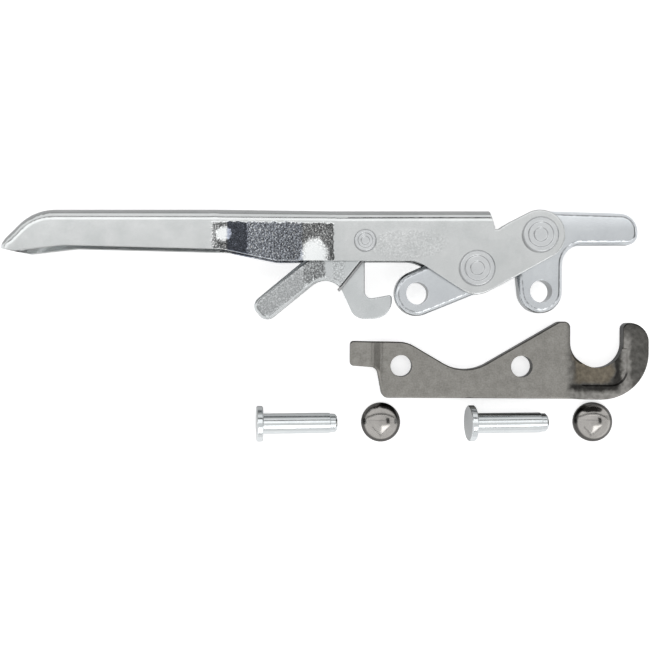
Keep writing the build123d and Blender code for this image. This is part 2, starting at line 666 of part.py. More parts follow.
# ---------------------------------------------------------------- the kit
ZINC = (0.78, 0.79, 0.80)
BRIGHT_ZINC = (0.85, 0.86, 0.88)
STEEL = (0.50, 0.49, 0.47)
SPRING_STEEL = (0.35, 0.35, 0.36)


def build_all():
    """Build and write every piece."""
    os.makedirs("parts", exist_ok=True)
    finish(lever_handle(), "lever_handle", ZINC)
    finish(toggle_link(), "toggle_link", ZINC)
    finish(clamp_arm(), "clamp_arm", ZINC)
    big = (RIVET_SHANK, RIVET_HEAD, RIVET_HEAD_HEIGHT)
    small = (CATCH_SHANK, CATCH_HEAD, CATCH_HEAD_HEIGHT)
    finish(rivet(TOGGLE_PIVOT, *big), "toggle_rivet", ZINC)
    finish(rivet(ARM_PIVOT, *big), "arm_rivet", ZINC)
    finish(rivet(CATCH_PIVOT, *small), "catch_rivet", ZINC)
    finish(safety_catch(), "safety_catch", ZINC)
    finish(catch_spring(), "catch_spring", SPRING_STEEL)
    finish(hook_plate(), "hook_plate", STEEL)
    for number, place in enumerate((PIN_1, PIN_2), 1):
        finish(clevis_pin(place), f"clevis_pin_{number}", BRIGHT_ZINC)
    for number, place in enumerate((CAP_1, CAP_2), 1):
        finish(push_cap(place), f"push_cap_{number}", STEEL)
        finish(push_washer(place), f"cap_washer_{number}", SPRING_STEEL)
    for label, point in (
        ("arm_pivot", ARM_PIVOT), ("toggle_pivot", TOGGLE_PIVOT),
        ("toggle_bore", TOGGLE_BORE), ("catch_pivot", CATCH_PIVOT),
    ):
        print(label, round(point.X, 3), round(point.Y, 3))
    print("hole spacing", round(HOLE_SPACING, 3), "floor", FLOOR)


if __name__ == "__main__":
    build_all()
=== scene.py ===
"""Studio scene of an over centre toggle latch, laid out as a kit on a pale floor.

The riveted lever unit lies on its side, with its hook plate, clevis pins and push-on caps below.
Every CAD node is dressed by a smooth copy of itself, and each finish is a procedural metal.
"""
from __future__ import annotations

import logging
import math
from dataclasses import dataclass
from enum import Enum

import bmesh
import bpy
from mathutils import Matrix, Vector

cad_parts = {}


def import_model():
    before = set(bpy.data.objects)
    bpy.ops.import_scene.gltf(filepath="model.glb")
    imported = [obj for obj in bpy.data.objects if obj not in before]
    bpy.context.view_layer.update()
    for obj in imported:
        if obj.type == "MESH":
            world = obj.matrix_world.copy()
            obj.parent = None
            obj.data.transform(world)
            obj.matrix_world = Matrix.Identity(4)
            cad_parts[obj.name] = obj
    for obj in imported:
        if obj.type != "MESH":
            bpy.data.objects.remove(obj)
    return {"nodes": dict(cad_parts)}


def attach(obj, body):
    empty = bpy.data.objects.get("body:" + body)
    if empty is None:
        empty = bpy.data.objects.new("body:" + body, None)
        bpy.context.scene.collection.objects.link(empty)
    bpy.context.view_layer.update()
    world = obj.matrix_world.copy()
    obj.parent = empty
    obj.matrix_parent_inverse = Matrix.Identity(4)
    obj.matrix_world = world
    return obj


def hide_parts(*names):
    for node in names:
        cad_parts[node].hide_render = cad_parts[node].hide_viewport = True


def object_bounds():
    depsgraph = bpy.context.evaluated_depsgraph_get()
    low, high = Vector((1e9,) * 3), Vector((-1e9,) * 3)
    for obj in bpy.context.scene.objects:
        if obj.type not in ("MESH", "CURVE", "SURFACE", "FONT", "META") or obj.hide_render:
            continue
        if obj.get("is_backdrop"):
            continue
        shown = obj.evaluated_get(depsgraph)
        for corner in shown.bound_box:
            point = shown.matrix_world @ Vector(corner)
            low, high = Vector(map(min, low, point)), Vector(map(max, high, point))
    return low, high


LOG = logging.getLogger("toggle_latch")
MM = 0.001
MERGE_MM = 0.002
WHITE = (1.0, 1.0, 1.0, 1.0)
MATH = "ShaderNodeMath"
MIX = "ShaderNodeMix"
MAP_RANGE = "ShaderNodeMapRange"
NOISE = "ShaderNodeTexNoise"
RAMP = "ShaderNodeValToRGB"
NOISE_MEAN = 0.5
# Octaves of a noise, from even patches to ragged ones.
SMOOTH, SOFT, ROUGH, RAGGED = 1, 2, 3, 4

# What can feed a socket: a node, one of its outputs, or a plain number.
Feed = bpy.types.Node | bpy.types.NodeSocket | float
Stops = tuple[tuple[float, float], ...]
Span = tuple[float, float]


class Slot(Enum):
    """The record's material slots."""

    SHEET = "zinc_sheet"
    FORGING = "zinc_forging"
    RIVET = "zinc_rivet"
    PIN = "bright_zinc"
    WIRE = "spring_wire"
    PLATE = "raw_steel"
    CAP = "cap_steel"


def linear(hex_colour: str) -> tuple[float, float, float, float]:
    """Turn an sRGB hex colour into a linear one.

    Args:
        hex_colour: colour such as "#c8cacc".

    Returns:
        Linear red, green, blue and an alpha of one.
    """
    channels = [int(hex_colour[place:place + 2], 16) / 255 for place in (1, 3, 5)]
    bent = [c / 12.92 if c <= 0.04045 else ((c + 0.055) / 1.055) ** 2.4 for c in channels]
    return bent[0], bent[1], bent[2], 1.0


def add_node(
    tree: bpy.types.NodeTree,
    kind: str,
    links: dict[str | int, object] | None = None,
    stops: Stops = (),
    **settings: object,
) -> bpy.types.Node:
    """Add one node with its settings, links, values and grey stops.

    Args:
        tree: the tree that gets the node.
        kind: the node's type name.
        links: socket name or number, to a node (its first live output), an output or a plain value.
        stops: position and grey level of each stop of a colour ramp.
        settings: attributes of the node.

    Returns:
        The new node.
    """
    node = tree.nodes.new(kind)
    for name, value in settings.items():
        setattr(node, name, value)
    for socket, value in (links or {}).items():
        if isinstance(value, bpy.types.Node):
            value = next(output for output in value.outputs if output.enabled)
        if isinstance(value, bpy.types.NodeSocket):
            tree.links.new(value, node.inputs[socket])
        else:
            node.inputs[socket].default_value = value
    if stops:
        elements = node.color_ramp.elements
        elements[0].position, elements[1].position = stops[0][0], stops[-1][0]
        for position, _ in stops[1:-1]:
            elements.new(position)
        for element, (_, level) in zip(elements, stops):
            element.color = (level, level, level, 1)
    return node


def between(
    tree: bpy.types.NodeTree, value: Feed, low: float | None, high: float | None, fade: float,
) -> bpy.types.Node:
    """Mark where a value lies between two limits, with soft ends.

    Args:
        tree: the tree that gets the nodes.
        value: the value to test.
        low: lower limit, or None for no such limit.
        high: upper limit, or None for no such limit.
        fade: width of each soft end, centred on its limit.

    Returns:
        One inside the limits, nought outside.
    """
    ends = [] if low is None else [(low - fade / 2, low + fade / 2)]
    if high is not None:
        ends.append((high + fade / 2, high - fade / 2))
    marks = [
        add_node(
            tree, MAP_RANGE, {"Value": value, "From Min": nought, "From Max": one},
            interpolation_type="SMOOTHSTEP",
        )
        for nought, one in ends
    ]
    if len(marks) == 1:
        return marks[0]
    return add_node(tree, MATH, {0: marks[0], 1: marks[1]}, operation="MULTIPLY")


@dataclass(frozen=True)
class Coordinates:
    """What the patterns of one material read: place in millimetres and the face's own normal."""

    tree: bpy.types.NodeTree
    place: Feed
    x_mm: Feed
    y_mm: Feed
    flatness: Feed
    normal_y: Feed

    def patches(self, size_mm: float, octaves: int) -> dict[str, object]:
        """Inputs of a noise whose patches are about a size across."""
        return {"Vector": self.place, "Scale": 1 / (size_mm * MM), "Detail": octaves}


@dataclass(frozen=True)
class PressedZone:
    """Patch that the press has drawn: it leans, is coarse and sparkles, and its shade and tint are painted."""

    left_mm: float
    right_mm: float
    low_mm: float
    high_mm: float
    lean_x: float = 0.0
    lean_y: float = 0.0
    shade: float = 1.0
    coarse: float = 1.0
    sparkle: float = 1.0
    fade_mm: float = 1.2
    ragged_mm: float = 2.4
    round_patch: bool = False
    tint: str = "#ffffff"
    # A patch lies on the flat of the sheet and fades into its folds.
    flat_from: float = 0.9
    flat_fade: float = 0.08

    def mask(self, at: Coordinates, ragged: Feed) -> bpy.types.Node:
        """Mark the patch.

        Args:
            at: the material's coordinates.
            ragged: noise about nought that frays the patch's edge.

        Returns:
            One inside the patch, nought outside.
        """
        tree = at.tree
        fray = add_node(tree, MATH, {0: ragged, 1: self.ragged_mm}, operation="MULTIPLY")
        across = add_node(tree, MATH, {0: at.x_mm, 1: fray}, operation="ADD")
        along = add_node(tree, MATH, {0: at.y_mm, 1: fray}, operation="ADD")
        if self.round_patch:
            inside = self.disc(tree, across, along)
        else:
            wide = between(tree, across, self.left_mm, self.right_mm, self.fade_mm)
            tall = between(tree, along, self.low_mm, self.high_mm, self.fade_mm)
            inside = add_node(tree, MATH, {0: wide, 1: tall}, operation="MULTIPLY")
        flat = between(tree, at.flatness, self.flat_from, None, self.flat_fade)
        return add_node(tree, MATH, {0: inside, 1: flat}, operation="MULTIPLY")

    def disc(self, tree: bpy.types.NodeTree, across: Feed, along: Feed) -> bpy.types.Node:
        """Mark the ellipse that fills the patch's box.

        Args:
            tree: the material's tree.
            across: place in X, frayed.
            along: place in Y, frayed.

        Returns:
            One inside the ellipse, nought outside.
        """
        half_x, half_y = (self.right_mm - self.left_mm) / 2, (self.high_mm - self.low_mm) / 2
        squares = []
        for place, low, half in ((across, self.left_mm, half_x), (along, self.low_mm, half_y)):
            off = add_node(tree, MATH, {0: place, 1: low + half}, operation="SUBTRACT")
            share = add_node(tree, MATH, {0: off, 1: 1 / half}, operation="MULTIPLY")
            squares.append(add_node(tree, MATH, {0: share, 1: 2.0}, operation="POWER"))
        total = add_node(tree, MATH, {0: squares[0], 1: squares[1]}, operation="ADD")
        reach = add_node(tree, MATH, {0: total}, operation="SQRT")
        return between(tree, reach, None, 1.0, self.fade_mm / half_x)


@dataclass(frozen=True)
class MetalFinish:
    """A plated or polished metal: cloudy colour, fine grain, slight waviness.

    Each shade field below is the share of the colour that stays, in this order: on the web, its folds
    and a pin's back, on cut edges and walls, on a rivet's steps, and in the broken line where a flat
    face turns into a rolled edge. All of them are painted shade, and cut edges and walls are partly
    their own darker plate as well. Flatness is the upright part of the normal.
    """

    name: str
    light: str
    dark: str
    roughness: float
    rough_spread: float = 0.15
    cloud_mm: float = 9.0
    # Real grain and spangle are finer than these. They are drawn this coarse so that they show.
    grain_mm: float = 0.8
    grain_height_mm: float = 0.006
    sparkle_mm: float = 0.65
    sparkle_stops: Stops = ((0.36, 0.42), (0.47, 0.80), (0.56, 1.05), (0.66, 1.7))
    coarse_height_mm: float = 0.10
    wave_mm: float = 12.0
    wave_height_mm: float = 0.03
    grain_share: float = 0.30
    tone_stops: Stops = ((0.3, 0.0), (0.7, 1.0))
    zones: tuple[PressedZone, ...] = ()
    fray_mm: float = 1.6
    fold_shade: float = 1.0
    fold_flatness: float = 0.81
    fold_fade: float = 0.06
    fold_back: Span = (0.1, 0.3)
    edge_shade: float = 0.42
    edge_flatness: float = 0.29
    edge_fade: float = 0.26
    edge_mm: float = 0.45
    slope_shade: float = 1.0
    slope_flatness: Span = (0.3, 0.96)
    slope_fade: float = 0.06
    roll_shade: float = 1.0
    roll_flatness: Span = (0.93, 0.992)
    roll_fade: float = 0.012
    roll_mm: float = 1.4
    roll_stops: Stops = ((0.40, 0.25), (0.55, 1.0))

    def start(self) -> tuple[bpy.types.Material, Coordinates]:
        """Make the empty material.

        Returns:
            The material and the coordinates that its patterns read.
        """
        material = bpy.data.materials.new(self.name)
        material.use_nodes = True
        tree = material.node_tree
        tree.nodes.clear()
        texture = add_node(tree, "ShaderNodeTexCoord")
        place = texture.outputs["Object"]
        axes = add_node(tree, "ShaderNodeSeparateXYZ", {0: place}).outputs
        facing = add_node(tree, "ShaderNodeSeparateXYZ", {0: texture.outputs["Normal"]}).outputs
        x_mm = add_node(tree, MATH, {0: axes["X"], 1: MM}, operation="DIVIDE")
        y_mm = add_node(tree, MATH, {0: axes["Y"], 1: MM}, operation="DIVIDE")
        flatness = add_node(tree, MATH, {0: facing["Z"]}, operation="ABSOLUTE")
        return material, Coordinates(tree, place, x_mm, y_mm, flatness, facing["Y"])

    def dull(self, at: Coordinates, colour: Feed, mask: Feed, level: float) -> bpy.types.Node:
        """Keep only a level of a colour inside a mask, for painted shade and for darker plate and scale."""
        keep = add_node(at.tree, MATH, {0: mask, 1: level - 1, 2: 1.0}, operation="MULTIPLY_ADD")
        return add_node(at.tree, "ShaderNodeVectorMath", {0: colour, "Scale": keep}, operation="SCALE")

    def colour(self, at: Coordinates, cloud: Feed, grain: Feed) -> bpy.types.Node:
        """Cloudy colour with a little grain.

        Args:
            at: the material's coordinates.
            cloud: coarse noise.
            grain: fine noise.

        Returns:
            The colour.
        """
        blend = add_node(at.tree, MIX, {0: self.grain_share, 2: cloud, 3: grain}, data_type="FLOAT")
        tone = add_node(at.tree, RAMP, {0: blend}, self.tone_stops)
        return add_node(at.tree, MIX, {0: tone, 6: linear(self.dark), 7: linear(self.light)}, data_type="RGBA")

    def wear(self, at: Coordinates, colour: Feed) -> Feed:
        """Darken cut edges, partly as painted shade, and paint shade on steps, folds and rolled rims.

        Args:
            at: the material's coordinates.
            colour: the fresh colour.

        Returns:
            The worn colour.
        """
        # Cut edges and walls: partly their own darker plate, partly painted shade.
        steep = between(at.tree, at.flatness, None, self.edge_flatness, self.edge_fade)
        colour = self.dull(at, colour, steep, self.edge_shade)
        # Painted shade on the steps and slopes.
        if self.slope_shade < 1:
            slope = between(at.tree, at.flatness, *self.slope_flatness, self.slope_fade)
            colour = self.dull(at, colour, slope, self.slope_shade)
        # Painted shade on the web, its folds and a pin's back flank.
        if self.fold_shade < 1:
            colour = self.dull(at, colour, self.fold_mask(at), self.fold_shade)
        # A broken line of painted shade where a flat face turns into a rolled edge.
        if self.roll_shade < 1:
            patchy = add_node(at.tree, NOISE, at.patches(self.roll_mm, SOFT))
            broken = add_node(at.tree, RAMP, {0: patchy}, self.roll_stops)
            turn = between(at.tree, at.flatness, *self.roll_flatness, self.roll_fade)
            line = add_node(at.tree, MATH, {0: turn, 1: broken}, operation="MULTIPLY")
            colour = self.dull(at, colour, line, self.roll_shade)
        return colour

    def fold_mask(self, at: Coordinates) -> bpy.types.Node:
        """Mark the web and the outer half of its folds, and a pin's back flank, for painted shade.

        Args:
            at: the material's coordinates.

        Returns:
            One on the web, nought on the flanks.
        """
        away = between(at.tree, at.flatness, None, self.fold_flatness, self.fold_fade)
        nought, one = self.fold_back
        back = add_node(at.tree, MAP_RANGE, {"Value": at.normal_y, "From Min": nought, "From Max": one})
        return add_node(at.tree, MATH, {0: away, 1: back}, operation="MULTIPLY")

    def press(self, at: Coordinates, colour: Feed, normal: Feed) -> tuple[Feed, Feed, Feed]:
        """Lean and roughen the pressed zones, and darken and tint them with painted shade.

        Args:
            at: the material's coordinates.
            colour: the colour so far.
            normal: the surface's normal.

        Returns:
            The colour, the leaning normal and the share of coarse grain.
        """
        tree = at.tree
        fray = add_node(tree, NOISE, at.patches(self.fray_mm, ROUGH))
        ragged = add_node(tree, MATH, {0: fray, 1: NOISE_MEAN}, operation="SUBTRACT")
        laid: dict[str, Feed] = {"lean_x": 0.0, "lean_y": 0.0, "coarse": 0.0, "sparkle": 0.0}
        for zone in self.zones:
            mask = zone.mask(at, ragged)
            for name, below in laid.items():
                laid[name] = add_node(tree, MIX, {0: mask, 2: below, 3: getattr(zone, name)}, data_type="FLOAT")
            # A zone's shade and tint are painted shade, tinted as a painted reflection.
            stain = (*(channel * zone.shade for channel in linear(zone.tint)[:3]), 1)
            colour = add_node(
                tree, MIX, {0: mask, 6: colour, 7: stain}, data_type="RGBA", blend_type="MULTIPLY",
            )
        spangle = add_node(tree, NOISE, at.patches(self.sparkle_mm, SOFT))
        grains = add_node(tree, RAMP, {0: spangle}, self.sparkle_stops)
        spangled = add_node(tree, MIX, {0: laid["sparkle"], 6: WHITE, 7: grains}, data_type="RGBA")
        colour = add_node(tree, MIX, {0: 1.0, 6: colour, 7: spangled}, data_type="RGBA", blend_type="MULTIPLY")
        offset = add_node(tree, "ShaderNodeCombineXYZ", {0: laid["lean_x"], 1: laid["lean_y"]})
        turned = add_node(
            tree, "ShaderNodeVectorTransform", {0: offset},
            vector_type="VECTOR", convert_from="OBJECT", convert_to="WORLD",
        )
        leaning = add_node(tree, "ShaderNodeVectorMath", {0: normal, 1: turned}, operation="ADD")
        unit = add_node(tree, "ShaderNodeVectorMath", {0: leaning}, operation="NORMALIZE")
        return colour, unit, laid["coarse"]

    def build(self) -> bpy.types.Material:
        """Make the finished material.

        Returns:
            The material.
        """
        material, at = self.start()
        tree = at.tree
        cloud = add_node(tree, NOISE, at.patches(self.cloud_mm, ROUGH))
        grain = add_node(tree, NOISE, at.patches(self.grain_mm, SOFT))
        colour = self.wear(at, self.colour(at, cloud, grain))
        least, most = self.roughness * (1 - self.rough_spread), self.roughness * (1 + self.rough_spread)
        rough = add_node(tree, MAP_RANGE, {"Value": cloud, "To Min": least, "To Max": most})
        normal = add_node(tree, "ShaderNodeBevel", {"Radius": self.edge_mm * MM}, samples=6)
        coarse: Feed = 0.0
        if self.zones:
            colour, normal, coarse = self.press(at, colour, normal)
        wave = add_node(tree, NOISE, at.patches(self.wave_mm, SMOOTH))
        wavy = add_node(
            tree, "ShaderNodeBump",
            {"Strength": 1.0, "Distance": self.wave_height_mm * MM, "Height": wave, "Normal": normal},
        )
        growth = self.coarse_height_mm / self.grain_height_mm
        taller = add_node(tree, MATH, {0: coarse, 1: growth, 2: 1.0}, operation="MULTIPLY_ADD")
        height = add_node(tree, MATH, {0: grain, 1: taller}, operation="MULTIPLY")
        bump = add_node(
            tree, "ShaderNodeBump",
            {"Strength": 1.0, "Distance": self.grain_height_mm * MM, "Height": height, "Normal": wavy},
        )
        shader = add_node(
            tree, "ShaderNodeBsdfPrincipled",
            {"Base Color": colour, "Metallic": 1.0, "Roughness": rough, "Normal": bump},
        )
        add_node(tree, "ShaderNodeOutputMaterial", {"Surface": shader})
        return material


@dataclass(frozen=True)
class FormedPlate(MetalFinish):
    """Pickled hot rolled plate: sheared walls are dark, and so is the end that was forged hot.

    The forged end is laid out from the middle of the plate's slot. Its band runs to the right and
    below of the slot, then come a groove and a ridge, and above the slot stands the horn. Painted
    shade darkens part of the walls and of the forged end, the upper rim and the horn; the groove
    carries a painted shadow and the ridge a painted highlight.
    """

    wall_shade: float = 0.30
    wall_flatness: float = 0.40
    wall_fade: float = 0.30
    slot_x_mm: float = 20.6
    slot_y_mm: float = -20.9
    blotch_mm: float = 3.5
    blotch_x_mm: float = 4.0
    blotch_y_mm: float = 3.0
    hot_from_mm: float = 14.2
    hot_fade_mm: float = 4.5
    hot_shade: float = 0.40
    band_right_mm: float = 12.4
    band_low_mm: float = 18.2
    band_corner_mm: float = 6.0
    band_inset_mm: float = 2.0
    band_start_fade_mm: float = 3.0
    band_end_mm: float = -1.4
    band_end_fade_mm: float = 2.0
    band_share: float = 0.6
    scale_brown: str = "#857b69"
    groove_mm: Span = (-0.6, 1.6)
    groove_fade_mm: float = 1.4
    groove_shade: float = 0.35
    ridge_mm: Span = (2.4, 5.6)
    ridge_fade_mm: float = 1.6
    ridge_from_mm: float = -3.0
    ridge_start_fade_mm: float = 5.0
    ridge_share: float = 0.75
    ridge_grey: str = "#a09e9a"
    horn_from_mm: float = -6.0
    horn_fade_mm: float = 6.0
    horn_shade: float = 0.62
    streak_mm: float = 1.8
    streak_stops: Stops = ((0.34, 0.78), (0.5, 0.98), (0.68, 1.25))
    rim_shade: float = 0.35
    rim_flatness: float = 0.9675
    rim_fade: float = 0.055
    rim_back: float = 0.15
    rim_back_fade: float = 0.2

    def forged(self, at: Coordinates, base: Feed) -> bpy.types.Node:
        """Darken the forged end, partly as painted shade, and draw its band and streaks, the painted
        shadow of its groove, the painted highlight of its ridge and the painted shade of its horn.

        Args:
            at: the material's coordinates.
            base: the plate's mottled grey.

        Returns:
            The colour.
        """
        tree = at.tree
        blotch = add_node(tree, NOISE, at.patches(self.blotch_mm, RAGGED))
        blotch = add_node(tree, MATH, {0: blotch, 1: NOISE_MEAN}, operation="SUBTRACT")
        from_slot = add_node(tree, MATH, {0: at.x_mm, 1: self.slot_x_mm}, operation="SUBTRACT")
        across = add_node(tree, MATH, {0: blotch, 1: self.blotch_x_mm, 2: from_slot}, operation="MULTIPLY_ADD")
        under_slot = add_node(tree, MATH, {0: self.slot_y_mm, 1: at.y_mm}, operation="SUBTRACT")
        below = add_node(tree, MATH, {0: blotch, 1: self.blotch_y_mm, 2: under_slot}, operation="MULTIPLY_ADD")
        # The forged end is darker: its own dark scale, and painted shade where it slopes away.
        start = self.hot_from_mm - self.slot_x_mm
        hot = between(tree, across, start, None, self.hot_fade_mm)
        base = self.dull(at, base, hot, self.hot_shade)
        # Inside the forged band the scale has flaked and leaves a warmer, paler metal.
        reach_x = add_node(tree, MATH, {0: across, 1: self.band_right_mm}, operation="SUBTRACT")
        reach_y = add_node(tree, MATH, {0: below, 1: self.band_low_mm}, operation="SUBTRACT")
        edge = add_node(tree, MATH, {0: reach_x, 1: reach_y, 2: self.band_corner_mm}, operation="SMOOTH_MAX")
        past = between(tree, across, start + self.band_inset_mm, None, self.band_start_fade_mm)
        inside = between(tree, edge, None, self.band_end_mm, self.band_end_fade_mm)
        band = add_node(tree, MATH, {0: inside, 1: past}, operation="MULTIPLY")
        band = add_node(tree, MATH, {0: band, 1: self.band_share}, operation="MULTIPLY")
        base = add_node(tree, MIX, {0: band, 6: base, 7: linear(self.scale_brown)}, data_type="RGBA")
        # Painted shadow of the step along the groove.
        groove = between(tree, edge, *self.groove_mm, self.groove_fade_mm)
        groove = add_node(tree, MATH, {0: groove, 1: hot}, operation="MULTIPLY")
        base = self.dull(at, base, groove, self.groove_shade)
        # The ridge outside the groove gets a painted highlight, but not up the horn.
        under_horn = between(tree, below, self.ridge_from_mm, None, self.ridge_start_fade_mm)
        low_part = add_node(tree, MATH, {0: under_horn, 1: hot}, operation="MULTIPLY")
        rubbed = add_node(tree, MATH, {0: low_part, 1: self.ridge_share}, operation="MULTIPLY")
        ridge = between(tree, edge, *self.ridge_mm, self.ridge_fade_mm)
        ridge = add_node(tree, MATH, {0: ridge, 1: rubbed}, operation="MULTIPLY")
        base = add_node(tree, MIX, {0: ridge, 6: base, 7: linear(self.ridge_grey)}, data_type="RGBA")
        # Painted shade on the horn.
        horn = between(tree, below, None, self.horn_from_mm, self.horn_fade_mm)
        horn = add_node(tree, MATH, {0: horn, 1: hot}, operation="MULTIPLY")
        base = self.dull(at, base, horn, self.horn_shade)
        streak = add_node(tree, NOISE, at.patches(self.streak_mm, RAGGED))
        streaks = add_node(tree, RAMP, {0: streak}, self.streak_stops)
        flaked = add_node(tree, MIX, {0: hot, 6: WHITE, 7: streaks}, data_type="RGBA")
        return add_node(tree, MIX, {0: 1.0, 6: base, 7: flaked}, data_type="RGBA", blend_type="MULTIPLY")

    def colour(self, at: Coordinates, cloud: Feed, grain: Feed) -> bpy.types.Node:
        """Mottled grey, dark walls, painted shade on the upper rim, and a dark brownish formed end.

        Args:
            at: the material's coordinates.
            cloud: coarse noise.
            grain: fine noise.

        Returns:
            The colour.
        """
        base = self.forged(at, super().colour(at, cloud, grain))
        # Painted shade along the upper rim.
        rim = between(at.tree, at.flatness, None, self.rim_flatness, self.rim_fade)
        back = between(at.tree, at.normal_y, self.rim_back, None, self.rim_back_fade)
        back_rim = add_node(at.tree, MATH, {0: rim, 1: back}, operation="MULTIPLY")
        base = self.dull(at, base, back_rim, self.rim_shade)
        # Dark walls: partly their own sheared metal, partly painted shade.
        walls = between(at.tree, at.flatness, None, self.wall_flatness, self.wall_fade)
        return self.dull(at, base, walls, self.wall_shade)


@dataclass(frozen=True)
class DomedCap(MetalFinish):
    """Polished pressed cap, with painted shade on its rim and on its back."""

    rim_shade: float = 0.22
    rim_flatness: float = 0.72
    rim_fade: float = 0.08
    back_shade: float = 0.68
    back_span: Span = (0.09, 0.30)
    back_fade: float = 0.05

    def colour(self, at: Coordinates, cloud: Feed, grain: Feed) -> bpy.types.Node:
        """Grey dome with painted shade on its back and rim.

        Args:
            at: the material's coordinates.
            cloud: coarse noise.
            grain: fine noise.

        Returns:
            The colour.
        """
        # Painted shade on the dome's back.
        back = between(at.tree, at.normal_y, *self.back_span, self.back_fade)
        base = self.dull(at, super().colour(at, cloud, grain), back, self.back_shade)
        # Painted shade on the rim.
        rim = between(at.tree, at.flatness, None, self.rim_flatness, self.rim_fade)
        return self.dull(at, base, rim, self.rim_shade)


def plain_mesh(piece: bpy.types.Object) -> None:
    """Turn a piece's modifiers into a plain mesh.

    Args:
        piece: the piece, whose mesh is replaced and whose modifiers are removed.
    """
    seen = piece.evaluated_get(bpy.context.evaluated_depsgraph_get())
    mesh = bpy.data.meshes.new_from_object(seen)
    piece.modifiers.clear()
    piece.data = mesh


@dataclass(frozen=True)
class Piece:
    """A smooth copy of one CAD node, dressed in its finish."""

    node: str
    body: str
    slot: Slot
    level: bool = False
    sharp_degrees: float = 32.0

    def dress(self, source: bpy.types.Object, finish: bpy.types.Material) -> None:
        """Merge a copy of the node's triangles, smooth it and give it its finish.

        Args:
            source: the CAD node.
            finish: the metal of its slot.
        """
        mesh = source.data.copy()
        mesh.materials.clear()
        mesh.materials.append(finish)
        shape = bmesh.new()
        shape.from_mesh(mesh)
        bmesh.ops.remove_doubles(shape, verts=shape.verts, dist=MERGE_MM * MM)
        limit = math.radians(self.sharp_degrees)
        for face in shape.faces:
            face.smooth = True
            face.material_index = 0
        for edge in shape.edges:
            edge.smooth = len(edge.link_faces) == 2 and edge.calc_face_angle(math.pi) < limit
        shape.to_mesh(mesh)
        shape.free()
        dressed = bpy.data.objects.new(f"{self.node}_dressed", mesh)
        bpy.context.scene.collection.objects.link(dressed)
        if self.level:
            self.level_normals(dressed)
        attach(dressed, self.body)
        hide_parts(self.node)
        LOG.info("%s dressed: %d faces", self.node, len(mesh.polygons))

    def level_normals(self, dressed: bpy.types.Object) -> None:
        """Let the large faces set the normals, so that rolled edges don't shade across them.

        Args:
            dressed: the piece, whose mesh is replaced.
        """
        dressed.modifiers.new("level", "WEIGHTED_NORMAL").keep_sharp = True
        plain_mesh(dressed)


@dataclass(frozen=True)
class FoldScore:
    """Broken dark line along the top of each cheek: a painted reflection, laid as a row of dark marks."""

    start_mm: tuple[float, float, float] = (-78.5, 29.67, 7.25)
    count: int = 74
    pitch_mm: float = 0.78
    length_mm: float = 0.7
    width_mm: float = 0.42
    height_mm: float = 0.05
    lean_degrees: float = 19.0
    least_stretch: tuple[float, float, float] = (0.35, 0.7, 1.0)
    most_stretch: tuple[float, float, float] = (1.25, 1.1, 1.0)
    seed: int = 7
    light: str = "#4a4c4e"
    dark: str = "#2e3032"
    roughness: float = 0.5

    def tree(self) -> bpy.types.NodeTree:
        """Make the node tree that lays the marks in a row.

        Returns:
            The tree, whose inputs are the row's sizes.
        """
        tree = bpy.data.node_groups.new("fold_score", "GeometryNodeTree")
        tree.interface.new_socket("Geometry", in_out="OUTPUT", socket_type="NodeSocketGeometry")
        for name, kind in (
            ("Count", "Int"), ("Seed", "Int"), ("Start", "Vector"), ("Pitch", "Vector"), ("Mark", "Vector"),
            ("Lean", "Vector"), ("Material", "Material"),
        ):
            tree.interface.new_socket(name, in_out="INPUT", socket_type=f"NodeSocket{kind}")
        inputs = add_node(tree, "NodeGroupInput").outputs
        row = add_node(
            tree, "GeometryNodeMeshLine",
            {"Count": inputs["Count"], "Start Location": inputs["Start"], "Offset": inputs["Pitch"]},
        )
        mark = add_node(tree, "GeometryNodeMeshCube", {"Size": inputs["Mark"]})
        stretch = add_node(
            tree, "FunctionNodeRandomValue",
            {0: self.least_stretch, 1: self.most_stretch, "Seed": inputs["Seed"]}, data_type="FLOAT_VECTOR",
        )
        laid = add_node(
            tree, "GeometryNodeInstanceOnPoints",
            {"Points": row, "Instance": mark, "Rotation": inputs["Lean"], "Scale": stretch},
        )
        real = add_node(tree, "GeometryNodeRealizeInstances", {"Geometry": laid})
        done = add_node(tree, "GeometryNodeSetMaterial", {"Geometry": real, "Material": inputs["Material"]})
        add_node(tree, "NodeGroupOutput", {"Geometry": done})
        return tree

    def lay(self, tree: bpy.types.NodeTree, finish: bpy.types.Material, name: str, side: int) -> None:
        """Lay one row of marks and turn it into a plain mesh.

        Args:
            tree: the tree that makes the row.
            finish: the marks' material.
            name: the piece's name.
            side: 1 for the near cheek, -1 for the far one.
        """
        x, y, z = self.start_mm
        values = {
            "Count": self.count,
            "Seed": self.seed + side,
            "Start": (x * MM, y * MM, side * z * MM),
            "Pitch": (self.pitch_mm * MM, 0.0, 0.0),
            "Mark": (self.length_mm * MM, self.width_mm * MM, self.height_mm * MM),
            "Lean": (-side * math.radians(self.lean_degrees), 0.0, 0.0),
            "Material": finish,
        }
        piece = bpy.data.objects.new(name, bpy.data.meshes.new(name))
        bpy.context.scene.collection.objects.link(piece)
        modifier = piece.modifiers.new("score", "NODES")
        modifier.node_group = tree
        for item in tree.interface.items_tree:
            if item.in_out == "INPUT":
                modifier[item.identifier] = values[item.name]
        plain_mesh(piece)
        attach(piece, "lever")
        LOG.info("%s: %d faces", name, len(piece.data.polygons))

    def build(self) -> None:
        """Lay the marks on both cheeks."""
        # The marks are a painted reflection, in a grey much darker than the plate.
        finish = MetalFinish("scored_zinc", self.light, self.dark, self.roughness).build()
        tree = self.tree()
        for name, side in (("near_fold_score", 1), ("far_fold_score", -1)):
            self.lay(tree, finish, name, side)


